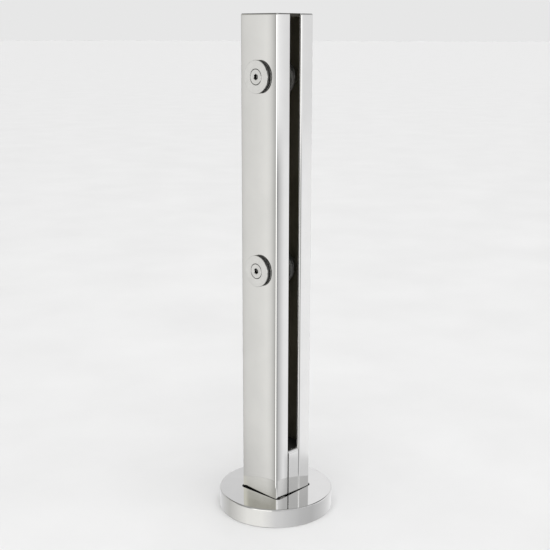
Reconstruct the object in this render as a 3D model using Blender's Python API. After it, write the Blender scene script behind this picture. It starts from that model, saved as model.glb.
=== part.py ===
# Slotted glass clamp post: square tube on a round flange, with a loose dress cover
# and two clamp buttons whose screws squeeze a glass panel inside the slot.
# Metres, +Z up. The origin is the centre of the base underside.
# The slot opens towards -Y and the clamp buttons stand on the -X face.

from math import cos, pi, radians, sin

import bmesh
import bpy
from mathutils import Matrix, Vector

MM = 0.001
GAP = 0.3 * MM                  # air left between pieces that touch

# post tube
POST_SIDE = 50 * MM
POST_WALL = 2.5 * MM
POST_CORNER = 3 * MM            # outer corner radius
POST_INNER_CORNER = 1 * MM
POST_TOP = 500 * MM
TOP_EDGE = 1.6 * MM             # rounding of the top edge
SLOT_WIDTH = 15 * MM
SLOT_EDGE = 0.7 * MM            # rounding of the slot's outer edges

# base
FLANGE_RADIUS = 54 * MM
FLANGE_THICK = 8 * MM
BOLT_CIRCLE_RADIUS = 40 * MM
BOLT_HOLE_RADIUS = 5.5 * MM
WELD_LEG = 3.5 * MM
COVER_RADIUS = 58.5 * MM
COVER_HEIGHT = 19.5 * MM
COVER_WALL = 1.6 * MM
COVER_EDGE = 0.6 * MM
COVER_HOLE_SIDE = 53 * MM
COVER_HOLE_CORNER = 5 * MM
COVER_TWIST = 2.9               # degrees that the loose cover sits turned

# slot filler, glass seat and top plate
FILLER_TOP = 67 * MM
FILLER_THICK = 2.8 * MM
FILLER_ROUND_DEEP = 2.6 * MM
FILLER_ROUND_HIGH = 4.5 * MM
SEAT_PLATE_THICK = 3.6 * MM
SEAT_PAD_THICK = 3 * MM
TOP_PLATE_THICK = 3 * MM

# clamps: distances along the clamp axis are counted outwards from the post's middle
CLAMP_HEIGHTS = {"upper": 442 * MM, "lower": 255 * MM}
BUTTON_RADIUS = 15.6 * MM
BUTTON_FACE = 28.4 * MM
BUTTON_THICK = 2.2 * MM
BUTTON_EDGE = 0.4 * MM
SPIGOT_RADIUS = 9 * MM
SPIGOT_TIP = 19.4 * MM
SPIGOT_HOLE_RADIUS = 9.4 * MM
GASKET_RADIUS = 15.2 * MM
SCREW_RADIUS = 3.9 * MM
SCREW_LENGTH = 50 * MM
SCREW_HEAD_RADIUS = 7.1 * MM
SCREW_HEAD_LAND = 0.6 * MM
SCREW_RUNNING_GAP = 0.45 * MM
SOCKET_ACROSS_FLATS = 5 * MM
SOCKET_DEPTH = 3.5 * MM
DISC_RADIUS = 12.5 * MM
DISC_THICK = 3 * MM
DISC_HUB_RADIUS = 7 * MM
PAD_RADIUS = 13 * MM
PAD_BORE_RADIUS = 9.1 * MM
PAD_THICK = 4 * MM
PAD_DROP = 3.7 * MM             # the loose pads hang on the sleeve until glass is clamped
NEAR_PAD_FACE = 5.5 * MM
FAR_PAD_FACE = 7.5 * MM
SLEEVE_RADIUS = 5.1 * MM
SLEEVE_REACH = 5.2 * MM
BOSS_HUB_RADIUS = 8 * MM

COVER_STEPS = 96
BUTTON_STEPS = 40
SMALL_STEPS = 28


# ---------- helpers ----------

def clear_scene():
    for item in list(bpy.data.objects):
        bpy.data.objects.remove(item, do_unlink=True)


def make_material(name, colour, roughness, metallic):
    material = bpy.data.materials.new(name)
    material.use_nodes = True
    shader = material.node_tree.nodes["Principled BSDF"]
    shader.inputs["Base Color"].default_value = (*colour, 1.0)
    shader.inputs["Roughness"].default_value = roughness
    shader.inputs["Metallic"].default_value = metallic
    material.diffuse_color = (*colour, 1.0)
    return material


def polished_steel(name):
    return make_material(name, (0.80, 0.80, 0.79), 0.08, 1.0)


def satin_steel(name):
    return make_material(name, (0.62, 0.62, 0.61), 0.35, 1.0)


def dark_rubber(name):
    return make_material(name, (0.03, 0.03, 0.032), 0.75, 0.0)


def add_piece(name, bm, material, parent=None):
    """Turn a bmesh into one smooth-shaded object with its own material."""
    bmesh.ops.remove_doubles(bm, verts=bm.verts, dist=1e-6)
    bmesh.ops.recalc_face_normals(bm, faces=bm.faces)
    mesh = bpy.data.meshes.new(name)
    bm.to_mesh(mesh)
    bm.free()
    mesh.materials.append(material)
    mesh.shade_smooth()
    mesh.set_sharp_from_angle(angle=radians(30))
    piece = bpy.data.objects.new(name, mesh)
    bpy.context.scene.collection.objects.link(piece)
    piece.parent = parent
    return piece


def add_joint_empty(name, place, turn=(0, 0, 0)):
    """An empty on a joint's axis: the pieces that move together are its children."""
    empty = bpy.data.objects.new(name, None)
    bpy.context.scene.collection.objects.link(empty)
    empty.location = place
    empty.rotation_euler = turn
    return empty


def cut(piece, cutter):
    cutter.hide_render = True
    cutter.display_type = "WIRE"
    boolean = piece.modifiers.new(cutter.name, "BOOLEAN")
    boolean.operation = "DIFFERENCE"
    boolean.solver = "EXACT"
    boolean.object = cutter


def arc(centre_x, centre_y, radius, start, end, steps):
    """Points on a circle from one angle to another, in degrees, both ends included."""
    points = []
    for step in range(steps + 1):
        angle = radians(start + (end - start) * step / steps)
        points.append((centre_x + radius * cos(angle), centre_y + radius * sin(angle)))
    return points


def rounded_square(half, radius, steps=5):
    middle = half - radius
    outline = []
    for quarter in range(4):
        start = 90 * quarter
        corner_x = middle * (1 if quarter in (0, 3) else -1)
        corner_y = middle * (1 if quarter in (0, 1) else -1)
        outline += arc(corner_x, corner_y, radius, start, start + 90, steps)
    return outline


def loft(sections, closed_ring=False):
    """Skin sections of equal point count: flat ends, or joined round into a ring."""
    bm = bmesh.new()
    rings = [[bm.verts.new(point) for point in section] for section in sections]
    pairs = list(zip(rings, rings[1:]))
    if closed_ring:
        pairs.append((rings[-1], rings[0]))
    else:
        bm.faces.new(rings[0])
        bm.faces.new(rings[-1])
    for low, high in pairs:
        for index in range(len(low)):
            after = (index + 1) % len(low)
            bm.faces.new((low[index], low[after], high[after], high[index]))
    return bm


def lift(outline, height):
    return [(x, y, height) for x, y in outline]


def prism(outline, low, high):
    return loft([lift(outline, low), lift(outline, high)])


def turned(profile, steps, closed=True):
    """Spin a profile of (distance along Z, radius) about the Z axis.

    A closed profile makes a ring; an open one starts and ends on the axis.
    """
    bm = bmesh.new()
    verts = [bm.verts.new((radius, 0, along)) for along, radius in profile]
    edges = [bm.edges.new(pair) for pair in zip(verts, verts[1:])]
    if closed:
        edges.append(bm.edges.new((verts[-1], verts[0])))
    bmesh.ops.spin(bm, geom=verts + edges, cent=(0, 0, 0), axis=(0, 0, 1), dvec=(0, 0, 0),
                   angle=2 * pi, steps=steps, use_merge=True)
    return bm


def ring(low, high, outer, inner, steps):
    return turned([(low, inner), (high, inner), (high, outer), (low, outer)], steps)


def add_cylinders(name, places, radius, low, high, steps, matrix=Matrix()):
    """One cutter made of upright cylinders at the given places."""
    bm = bmesh.new()
    for x, y in places:
        centre = matrix @ Vector((x, y, (low + high) / 2))
        placed = Matrix.Translation(centre) @ matrix.to_3x3().to_4x4()
        bmesh.ops.create_cone(bm, cap_ends=True, segments=steps, radius1=radius, radius2=radius,
                              depth=high - low, matrix=placed)
    return add_piece(name, bm, make_material(name, (0.5, 0.5, 0.5), 0.5, 0.0))


# ---------- post ----------

def tube_outline(inset):
    """The tube's C-shaped section; inset draws its outer and slot walls in."""
    half = POST_SIDE / 2 - inset
    inner = POST_SIDE / 2 - POST_WALL
    slot = SLOT_WIDTH / 2 + inset
    corner = half - (POST_CORNER - inset)
    corner_radius = POST_CORNER - inset
    inner_corner = inner - POST_INNER_CORNER
    edge = SLOT_EDGE
    outline = [(slot, -inner)]
    outline += arc(slot + edge, -half + edge, edge, 180, 270, 3)
    outline += arc(corner, -corner, corner_radius, 270, 360, 7)
    outline += arc(corner, corner, corner_radius, 0, 90, 7)
    outline += arc(-corner, corner, corner_radius, 90, 180, 7)
    outline += arc(-corner, -corner, corner_radius, 180, 270, 7)
    outline += arc(-slot - edge, -half + edge, edge, 270, 360, 3)
    outline += [(-slot, -inner)]
    outline += arc(-inner_corner, -inner_corner, POST_INNER_CORNER, 270, 180, 3)
    outline += arc(-inner_corner, inner_corner, POST_INNER_CORNER, 180, 90, 3)
    outline += arc(inner_corner, inner_corner, POST_INNER_CORNER, 90, 0, 3)
    outline += arc(inner_corner, -inner_corner, POST_INNER_CORNER, 0, -90, 3)
    return outline


def build_post_tube(clamp_matrices):
    sections = [lift(tube_outline(0), FLANGE_THICK + GAP)]
    rounding_steps = 4
    for step in range(rounding_steps + 1):
        angle = radians(90 * step / rounding_steps)
        height = POST_TOP - TOP_EDGE + TOP_EDGE * sin(angle)
        sections.append(lift(tube_outline(TOP_EDGE * (1 - cos(angle))), height))
    tube = add_piece("post_tube", loft(sections), polished_steel("post_tube"))
    for name, matrix in clamp_matrices.items():
        hole = add_cylinders(f"{name}_spigot_hole", [(0, 0)], SPIGOT_HOLE_RADIUS,
                             POST_SIDE / 2 - 2 * POST_WALL, POST_SIDE / 2 + POST_WALL,
                             SMALL_STEPS, matrix)
        cut(tube, hole)
    return tube


def build_top_plate():
    half = POST_SIDE / 2 - POST_WALL - GAP
    outline = rounded_square(half, POST_INNER_CORNER, 3)
    plate = prism(outline, POST_TOP - TOP_PLATE_THICK, POST_TOP)
    return add_piece("top_closure_plate", plate, polished_steel("top_closure_plate"))


def build_slot_filler():
    """Strip that closes the slot's foot; its top front edge is a quarter ellipse."""
    half = SLOT_WIDTH / 2 - GAP
    front = -POST_SIDE / 2
    back = front + FILLER_THICK
    low = FLANGE_THICK + GAP
    side = [(back, low), (back, FILLER_TOP)]
    steps = 6
    for step in range(steps + 1):
        angle = radians(90 - 90 * step / steps)
        along_y = front + FILLER_ROUND_DEEP * (1 - cos(angle))
        height = FILLER_TOP - FILLER_ROUND_HIGH * (1 - sin(angle))
        side.append((along_y, height))
    side.append((front, low))
    sections = [[(x, y, z) for y, z in side] for x in (-half, half)]
    return add_piece("slot_filler_strip", loft(sections), polished_steel("slot_filler_strip"))


def seat_outline():
    """Inside of the tube behind the slot filler, with the working gap all round."""
    half = POST_SIDE / 2 - POST_WALL - GAP
    front = -POST_SIDE / 2 + FILLER_THICK + GAP
    corner = half - POST_INNER_CORNER
    outline = [(-half, front), (half, front)]
    outline += arc(corner, corner, POST_INNER_CORNER, 0, 90, 3)
    outline += arc(-corner, corner, POST_INNER_CORNER, 90, 180, 3)
    return outline


def build_glass_seat():
    pad_top = FILLER_TOP - GAP
    pad_low = pad_top - SEAT_PAD_THICK
    plate_top = pad_low - GAP
    plate = prism(seat_outline(), plate_top - SEAT_PLATE_THICK, plate_top)
    add_piece("glass_seat_plate", plate, satin_steel("glass_seat_plate"))
    pad = prism(seat_outline(), pad_low, pad_top)
    add_piece("glass_seat_pad", pad, dark_rubber("glass_seat_pad"))


# ---------- base ----------

def build_base_flange():
    disc = turned([(0, 0), (0, FLANGE_RADIUS), (FLANGE_THICK, FLANGE_RADIUS), (FLANGE_THICK, 0)],
                  COVER_STEPS // 2, closed=False)
    flange = add_piece("base_flange", disc, satin_steel("base_flange"))
    reach = BOLT_CIRCLE_RADIUS
    holes = add_cylinders("bolt_holes", [(reach, 0), (0, reach), (-reach, 0), (0, -reach)],
                          BOLT_HOLE_RADIUS, -FLANGE_THICK, 2 * FLANGE_THICK, 20)
    cut(flange, holes)
    return flange


def build_base_weld():
    """Fillet bead round the foot of the tube: a triangle carried round a rounded square."""
    inner = POST_SIDE / 2 + GAP
    low = FLANGE_THICK + GAP
    inner_corner = POST_CORNER + GAP
    outer_corner = POST_CORNER + GAP + WELD_LEG
    sections = [
        lift(rounded_square(inner, inner_corner), low),
        lift(rounded_square(inner + WELD_LEG, outer_corner), low),
        lift(rounded_square(inner, inner_corner), low + WELD_LEG),
    ]
    bead = loft(sections, closed_ring=True)
    return add_piece("base_weld_bead", bead, satin_steel("base_weld_bead"))


def build_base_cover():
    """Loose dress cover: a shallow cup turned upside down, with a square hole."""
    top = COVER_HEIGHT
    edge = COVER_EDGE
    profile = [
        (top, 0),
        (top, COVER_RADIUS - edge),
        (top - edge * 0.3, COVER_RADIUS - edge * 0.3),
        (top - edge, COVER_RADIUS),
        (0, COVER_RADIUS),
        (0, COVER_RADIUS - COVER_WALL),
        (top - COVER_WALL, COVER_RADIUS - COVER_WALL),
        (top - COVER_WALL, 0),
    ]
    slide = add_joint_empty("cover_lift_axis", (0, 0, 0))
    cover = add_piece("base_cover", turned(profile, COVER_STEPS, closed=False),
                      polished_steel("base_cover"), slide)
    hole = prism(rounded_square(COVER_HOLE_SIDE / 2, COVER_HOLE_CORNER), 0, 2 * top)
    cutter = add_piece("cover_hole", hole, make_material("cover_hole", (0.5, 0.5, 0.5), 0.5, 0.0))
    cutter.rotation_euler = (0, 0, radians(COVER_TWIST))
    cut(cover, cutter)
    return cover


# ---------- clamps: Z of each clamp axis points out of the button face ----------

def build_button(name, axis):
    """Round button with a spigot through the tube wall and a countersink for the screw."""
    face = BUTTON_FACE
    back = face - BUTTON_THICK
    bore = SCREW_RADIUS + SCREW_RUNNING_GAP
    mouth = SCREW_HEAD_RADIUS + SCREW_RUNNING_GAP
    land = face - SCREW_HEAD_LAND
    profile = [
        (SPIGOT_TIP, bore),
        (land - (mouth - bore), bore),
        (land, mouth),
        (face, mouth),
        (face, BUTTON_RADIUS - BUTTON_EDGE),
        (face - BUTTON_EDGE * 0.3, BUTTON_RADIUS - BUTTON_EDGE * 0.3),
        (face - BUTTON_EDGE, BUTTON_RADIUS),
        (back, BUTTON_RADIUS),
        (back, SPIGOT_RADIUS),
        (SPIGOT_TIP, SPIGOT_RADIUS),
    ]
    button = turned(profile, BUTTON_STEPS)
    return add_piece(name, button, polished_steel(name), axis)


def build_gasket(name, axis):
    high = BUTTON_FACE - BUTTON_THICK - GAP
    gasket = ring(POST_SIDE / 2 + GAP, high, GASKET_RADIUS, SPIGOT_HOLE_RADIUS, BUTTON_STEPS)
    return add_piece(name, gasket, dark_rubber(name), axis)


def build_clamp_screw(name, axis):
    """Countersunk socket screw, its head flush with the button face."""
    face = BUTTON_FACE
    land = face - SCREW_HEAD_LAND
    neck = land - (SCREW_HEAD_RADIUS - SCREW_RADIUS)
    tip = face - SCREW_LENGTH
    point = 0.8 * MM
    profile = [
        (face, 0),
        (face, SCREW_HEAD_RADIUS),
        (land, SCREW_HEAD_RADIUS),
        (neck, SCREW_RADIUS),
        (tip + point, SCREW_RADIUS),
        (tip, SCREW_RADIUS - point),
        (tip, 0),
    ]
    screw = add_piece(name, turned(profile, SMALL_STEPS, closed=False), polished_steel(name), axis)
    across_corners = SOCKET_ACROSS_FLATS / cos(pi / 6)
    socket = add_cylinders(f"{name}_socket", [(0, 0)], across_corners / 2,
                           face - SOCKET_DEPTH, face + SOCKET_DEPTH, 6, axis_matrix(axis))
    cut(screw, socket)
    return screw


def build_pressure_disc(name, axis):
    """Plate and hub that the button's spigot drives against the near pad."""
    plate_low = NEAR_PAD_FACE + PAD_THICK + GAP
    plate_high = plate_low + DISC_THICK
    bore = SCREW_RADIUS + SCREW_RUNNING_GAP
    profile = [
        (plate_low, bore),
        (SPIGOT_TIP - GAP, bore),
        (SPIGOT_TIP - GAP, DISC_HUB_RADIUS),
        (plate_high, DISC_HUB_RADIUS),
        (plate_high, DISC_RADIUS),
        (plate_low, DISC_RADIUS),
    ]
    return add_piece(name, turned(profile, SMALL_STEPS), satin_steel(name), axis)


def build_pad(name, low, axis):
    """Loose rubber ring: X of the clamp axis points up, so it hangs towards -X."""
    pad = ring(low, low + PAD_THICK, PAD_RADIUS, PAD_BORE_RADIUS, SMALL_STEPS)
    bmesh.ops.translate(pad, verts=pad.verts, vec=(-PAD_DROP, 0, 0))
    return add_piece(name, pad, dark_rubber(name), axis)


def build_far_boss(name, axis):
    """Tapped boss welded inside the far wall, with a plate that backs the far pad."""
    plate_high = -FAR_PAD_FACE - PAD_THICK - GAP
    plate_low = plate_high - DISC_THICK
    wall = -POST_SIDE / 2 + POST_WALL + GAP
    bore = SCREW_RADIUS + GAP
    profile = [
        (wall, bore),
        (plate_high, bore),
        (plate_high, DISC_RADIUS),
        (plate_low, DISC_RADIUS),
        (plate_low, BOSS_HUB_RADIUS),
        (wall, BOSS_HUB_RADIUS),
    ]
    return add_piece(name, turned(profile, SMALL_STEPS), satin_steel(name), axis)


def build_sleeve(name, axis):
    """Nylon sleeve that keeps the screw off the edge of the hole in the glass."""
    sleeve = ring(-FAR_PAD_FACE - PAD_THICK, SLEEVE_REACH, SLEEVE_RADIUS,
                  SCREW_RADIUS + GAP, SMALL_STEPS)
    return add_piece(name, sleeve, make_material(name, (0.82, 0.81, 0.77), 0.5, 0.0), axis)


def axis_matrix(axis):
    return Matrix.LocRotScale(axis.location, axis.rotation_euler, None)


def build_clamp(side, height):
    """One clamp: fixed pieces on the far wall, moving pieces on three joint axes."""
    place = (0, 0, height)
    outwards = (0, radians(-90), 0)
    fixed = add_joint_empty(f"{side}_clamp_centre", place, outwards)
    build_far_boss(f"{side}_threaded_boss", fixed)
    build_pad(f"{side}_far_pad", -FAR_PAD_FACE - PAD_THICK, fixed)
    build_sleeve(f"{side}_screw_sleeve", fixed)
    travel = add_joint_empty(f"{side}_button_travel_axis", place, outwards)
    build_button(f"{side}_clamp_button", travel)
    build_gasket(f"{side}_button_gasket", travel)
    turn = add_joint_empty(f"{side}_screw_turn_axis", place, outwards)
    build_clamp_screw(f"{side}_clamp_screw", turn)
    squeeze = add_joint_empty(f"{side}_squeeze_axis", place, outwards)
    build_pressure_disc(f"{side}_pressure_disc", squeeze)
    build_pad(f"{side}_near_pad", NEAR_PAD_FACE, squeeze)
    return axis_matrix(fixed)


def build_all():
    clear_scene()
    clamp_matrices = {side: build_clamp(side, height) for side, height in CLAMP_HEIGHTS.items()}
    build_post_tube(clamp_matrices)
    build_top_plate()
    build_slot_filler()
    build_glass_seat()
    build_base_flange()
    build_base_weld()
    build_base_cover()


build_all()
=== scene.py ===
from math import atan2, pi, radians, sin

import bmesh
import bpy
import numpy as np
from mathutils import Matrix, Vector


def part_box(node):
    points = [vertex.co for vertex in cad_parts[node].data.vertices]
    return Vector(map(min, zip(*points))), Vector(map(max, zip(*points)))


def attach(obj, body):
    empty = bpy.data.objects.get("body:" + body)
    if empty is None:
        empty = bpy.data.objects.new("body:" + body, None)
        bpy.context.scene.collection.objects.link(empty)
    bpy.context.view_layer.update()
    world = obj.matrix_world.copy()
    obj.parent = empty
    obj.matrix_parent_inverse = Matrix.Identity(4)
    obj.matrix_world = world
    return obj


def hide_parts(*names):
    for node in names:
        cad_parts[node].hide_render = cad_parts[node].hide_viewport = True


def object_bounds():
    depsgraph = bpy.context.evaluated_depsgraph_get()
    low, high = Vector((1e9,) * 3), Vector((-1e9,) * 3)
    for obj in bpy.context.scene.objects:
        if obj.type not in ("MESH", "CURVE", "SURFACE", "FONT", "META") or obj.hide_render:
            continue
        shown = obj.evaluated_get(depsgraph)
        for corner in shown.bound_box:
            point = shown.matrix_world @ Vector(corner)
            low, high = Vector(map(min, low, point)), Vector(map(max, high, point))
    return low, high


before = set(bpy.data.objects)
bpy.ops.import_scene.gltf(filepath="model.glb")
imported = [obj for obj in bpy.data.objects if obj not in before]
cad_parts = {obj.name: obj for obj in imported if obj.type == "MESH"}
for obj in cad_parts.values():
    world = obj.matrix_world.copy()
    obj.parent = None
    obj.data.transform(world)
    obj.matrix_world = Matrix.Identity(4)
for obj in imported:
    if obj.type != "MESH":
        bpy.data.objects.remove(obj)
cadLow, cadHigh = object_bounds()
mm = 0.001
print("frame loaded:", len(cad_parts), "pieces from the CAD model")


meshing = {"sharpAngle": 32, "mergeWithin": 0.0001 * mm}


def skin(name, grid, finishes, closeAlong=False, capEnds=False, finishOf=None,
         sharpAngle=meshing["sharpAngle"]):
    # grid[i, j] is point j of section i; every section is a closed ring, and each of its points also joins
    # the point of the same number in the next section
    rows, cols = grid.shape[:2]
    index = np.arange(rows * cols).reshape(rows, cols)
    index = np.concatenate([index, index[:, :1]], axis=1)
    if closeAlong:
        index = np.concatenate([index, index[:1]], axis=0)
    quads = np.stack([index[:-1, :-1], index[:-1, 1:], index[1:, 1:], index[1:, :-1]], axis=-1)
    faces = quads.reshape(-1, 4).tolist()
    if capEnds:
        faces += [np.arange(cols)[::-1].tolist(), (np.arange(cols) + (rows - 1) * cols).tolist()]
    mesh = bpy.data.meshes.new(name)
    mesh.from_pydata(grid.reshape(-1, 3).tolist(), [], faces)
    for finish in finishes:
        mesh.materials.append(finish)
    if finishOf is not None:                     # one material number for each quad of the grid
        numbers = np.zeros(len(faces), np.int32)
        whole = np.broadcast_to(finishOf, quads.shape[:2])
        numbers[:whole.size] = whole.reshape(-1)
        mesh.polygons.foreach_set("material_index", numbers)
    bm = bmesh.new()
    bm.from_mesh(mesh)
    bmesh.ops.remove_doubles(bm, verts=bm.verts, dist=meshing["mergeWithin"])
    bmesh.ops.recalc_face_normals(bm, faces=bm.faces)
    bm.to_mesh(mesh)
    bm.free()
    piece = bpy.data.objects.new(name, mesh)
    bpy.context.scene.collection.objects.link(piece)
    shadeSmooth(piece, sharpAngle)
    return piece


def shadeSmooth(piece, sharpAngle):
    # smooth faces; flat ends keep sharp borders, so that a polished flat reflects as a flat
    mesh = piece.data
    mesh.shade_smooth()
    mesh.set_sharp_from_angle(angle=radians(sharpAngle))
    bm = bmesh.new()
    bm.from_mesh(mesh)
    for face in bm.faces:
        if len(face.verts) > 4:
            for edge in face.edges:
                edge.smooth = False
    bm.to_mesh(mesh)
    bm.free()


def standIn(piece, node, body):
    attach(piece, body)
    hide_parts(node)


def roundedProfile(corners, radii, steps=6, support=0.15 * mm, closed=True):
    # every corner becomes an arc tangent to its two sides, with one more point close by on each side
    corners = np.array(corners, float)
    count = len(corners)
    points = []
    for i, radius in enumerate(radii):
        corner = corners[i]
        if radius <= 0 or (not closed and i in (0, count - 1)):
            points.append(corner[None])
            continue
        toPrevious = corners[i - 1] - corner
        toNext = corners[(i + 1) % count] - corner
        a = toPrevious / np.linalg.norm(toPrevious)
        b = toNext / np.linalg.norm(toNext)
        opening = np.arccos(np.clip(a @ b, -1, 1))
        reach = radius / np.tan(opening / 2)
        centre = corner + (a + b) / np.linalg.norm(a + b) * radius / np.sin(opening / 2)
        start, end = corner + a * reach, corner + b * reach
        turn = pi - opening
        share = np.linspace(0, 1, steps + 1)[:, None]
        bend = centre + (np.sin((1 - share) * turn) * (start - centre)
                         + np.sin(share * turn) * (end - centre)) / np.sin(turn)
        points += [(start + a * support)[None], bend, (end + b * support)[None]]
    return np.concatenate(points)


def arcPoints(centre, radius, startAngle, endAngle, steps):
    angle = np.radians(np.linspace(startAngle, endAngle, steps + 1))
    return np.stack([centre[0] + radius * np.cos(angle), centre[1] + radius * np.sin(angle)], axis=-1)


def turnedGrid(along, radius, steps, centre=None):
    # a profile turned round an axis: round the post's own axis, or round a clamp axis that points to -X
    angle = np.linspace(0, 2 * pi, steps, endpoint=False)
    along = np.asarray(along, float).reshape(len(along), -1) * np.ones(steps)
    radius = np.asarray(radius, float).reshape(len(radius), -1) * np.ones(steps)
    if centre is None:
        return np.stack([radius * np.cos(angle), radius * np.sin(angle), along], axis=-1)
    return np.stack([-along, centre[1] + radius * np.cos(angle), centre[2] + radius * np.sin(angle)],
                    axis=-1)


def shrunk(outline, inset):
    # the outline moved inwards along its own normals; it runs anticlockwise
    along = np.roll(outline, -1, axis=0) - np.roll(outline, 1, axis=0)
    along /= np.linalg.norm(along, axis=1)[:, None]
    return outline - inset * np.stack([along[:, 1], -along[:, 0]], axis=-1)


def edgeSteps(low, high, edge, steps=4):
    # heights and insets of a plate whose upper and lower edges are quarter rounds
    angle = np.linspace(0, pi / 2, steps + 1)
    inset = edge * (1 - np.sin(angle))
    height = edge * (1 - np.cos(angle))
    heights = np.concatenate([low + height, [low + edge * 2, high - edge * 2], high - height[::-1]])
    insets = np.concatenate([inset, [0, 0], inset[::-1]])
    return heights, insets


def plateGrid(outline, low, high, edge):
    # one layer of the outline for each height, drawn in at the upper and lower edges
    heights, insets = edgeSteps(low, high, edge)
    layers = [np.column_stack([shrunk(outline, inset), np.full(len(outline), height)])
              for height, inset in zip(heights, insets)]
    return np.stack(layers)


def cutAway(piece, cutters):
    # the cutters are taken out of the piece for good
    for cutter in cutters:
        cutting = piece.modifiers.new("cut", "BOOLEAN")
        cutting.operation = "DIFFERENCE"
        cutting.solver = "EXACT"
        cutting.object = cutter
    bpy.context.view_layer.update()
    graph = bpy.context.evaluated_depsgraph_get()
    result = bpy.data.meshes.new_from_object(piece.evaluated_get(graph))
    piece.modifiers.clear()
    piece.data = result
    for cutter in cutters:
        bpy.data.objects.remove(cutter)
    result.shade_smooth()
    result.set_sharp_from_angle(angle=radians(meshing["sharpAngle"]))


def addNode(tree, kind, inputs=None, **settings):
    node = tree.nodes.new(kind)
    for key, value in settings.items():
        setattr(node, key, value)
    for key, value in (inputs or {}).items():
        if isinstance(value, bpy.types.NodeSocket):
            tree.links.new(value, node.inputs[key])
        else:
            node.inputs[key].default_value = value
    return node


def startFinish(name, metallic):
    finish = bpy.data.materials.new(name)
    finish.use_nodes = True
    tree = finish.node_tree
    shader = tree.nodes["Principled BSDF"]
    shader.inputs["Metallic"].default_value = metallic
    spot = addNode(tree, "ShaderNodeTexCoord").outputs["Object"]
    return finish, tree, shader, spot


def noise(tree, vector, scale, stretch=(1, 1, 1), detail=3, roughness=0.55, shift=(0, 0, 0)):
    # noise cells per metre are scale times stretch in each direction
    moved = addNode(tree, "ShaderNodeMapping", {"Vector": vector, "Scale": stretch, "Location": shift})
    return addNode(tree, "ShaderNodeTexNoise", {"Vector": moved.outputs[0], "Scale": scale,
                                                "Detail": detail, "Roughness": roughness}).outputs["Fac"]


def ringNoise(tree, vector, centre, mask, scale, detail=3):
    # noise that depends only on the distance from a turning axis, as a lathe leaves it
    moved = addNode(tree, "ShaderNodeVectorMath", {0: vector, 1: centre}, operation="SUBTRACT")
    flat = addNode(tree, "ShaderNodeVectorMath", {0: moved.outputs[0], 1: mask}, operation="MULTIPLY")
    distance = addNode(tree, "ShaderNodeVectorMath", {0: flat.outputs[0]}, operation="LENGTH")
    return addNode(tree, "ShaderNodeTexNoise", {"W": distance.outputs["Value"], "Scale": scale,
                                                "Detail": detail}, noise_dimensions="1D").outputs["Fac"]


def toRange(tree, value, low, high, fromLow=0.3, fromHigh=0.7):
    return addNode(tree, "ShaderNodeMapRange", {"Value": value, "From Min": fromLow, "From Max": fromHigh,
                                                "To Min": low, "To Max": high}).outputs["Result"]


def twoTone(tree, value, dark, light, fromLow=0.3, fromHigh=0.7):
    ramp = addNode(tree, "ShaderNodeValToRGB", {"Fac": value})
    first, last = ramp.color_ramp.elements
    first.position, last.position = fromLow, fromHigh
    first.color, last.color = (*dark, 1), (*light, 1)
    return ramp.outputs["Color"]


def addBumps(tree, shader, *layers):
    # each layer is (height, depth in metres); the deepest comes first
    normal = None
    for height, depth in layers:
        inputs = {"Height": height, "Distance": depth, "Strength": 1.0}
        if normal is not None:
            inputs["Normal"] = normal
        normal = addNode(tree, "ShaderNodeBump", inputs).outputs["Normal"]
    tree.links.new(normal, shader.inputs["Normal"])


polish = {
    "dark": (0.775, 0.775, 0.765), "light": (0.825, 0.823, 0.812), "cloudSize": 22,
    "roughness": (0.03, 0.075), "smearSize": 60,
    "waveSize": 45, "waveStretch": (1, 1, 0.35), "waveDepth": 0.007 * mm,      # slow waviness of the sheet
    "lineSize": 700, "lineDepth": 0.0006 * mm,                                 # last polishing lines
}


def polishedSteel(name, lineStretch):
    finish, tree, shader, spot = startFinish(name, 1.0)
    cloud = noise(tree, spot, polish["cloudSize"], detail=4)
    tree.links.new(twoTone(tree, cloud, polish["dark"], polish["light"]), shader.inputs["Base Color"])
    lines = noise(tree, spot, polish["lineSize"], lineStretch, detail=2)
    smear = noise(tree, spot, polish["smearSize"], lineStretch, detail=5, roughness=0.7, shift=(3, 1, 2))
    tree.links.new(toRange(tree, smear, *polish["roughness"]), shader.inputs["Roughness"])
    wave = noise(tree, spot, polish["waveSize"], polish["waveStretch"], detail=1, shift=(7, 2, 5))
    addBumps(tree, shader, (wave, polish["waveDepth"]), (lines, polish["lineDepth"]))
    return finish


turned = {
    "ringSize": 1500, "cloudSize": 160,
    "fine": {"roughness": (0.08, 0.16), "ringDepth": 0.0012 * mm},
    "coarse": {"roughness": (0.24, 0.42), "ringDepth": 0.004 * mm},
    "disc": {"roughness": (0.24, 0.4), "ringDepth": 0.004 * mm},
    "boss": {"roughness": (0.26, 0.42), "ringDepth": 0.004 * mm},
}


def turnedSteel(name, centre, mask, dark, light, roughness, ringDepth):
    # the mask drops the direction along the axis, so that the rings lie round it
    finish, tree, shader, spot = startFinish(name, 1.0)
    rings = ringNoise(tree, spot, centre, mask, turned["ringSize"])
    cloud = noise(tree, spot, turned["cloudSize"], detail=4)
    tree.links.new(twoTone(tree, cloud, dark, light), shader.inputs["Base Color"])
    tree.links.new(toRange(tree, rings, *roughness), shader.inputs["Roughness"])
    addBumps(tree, shader, (rings, ringDepth))
    return finish


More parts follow.
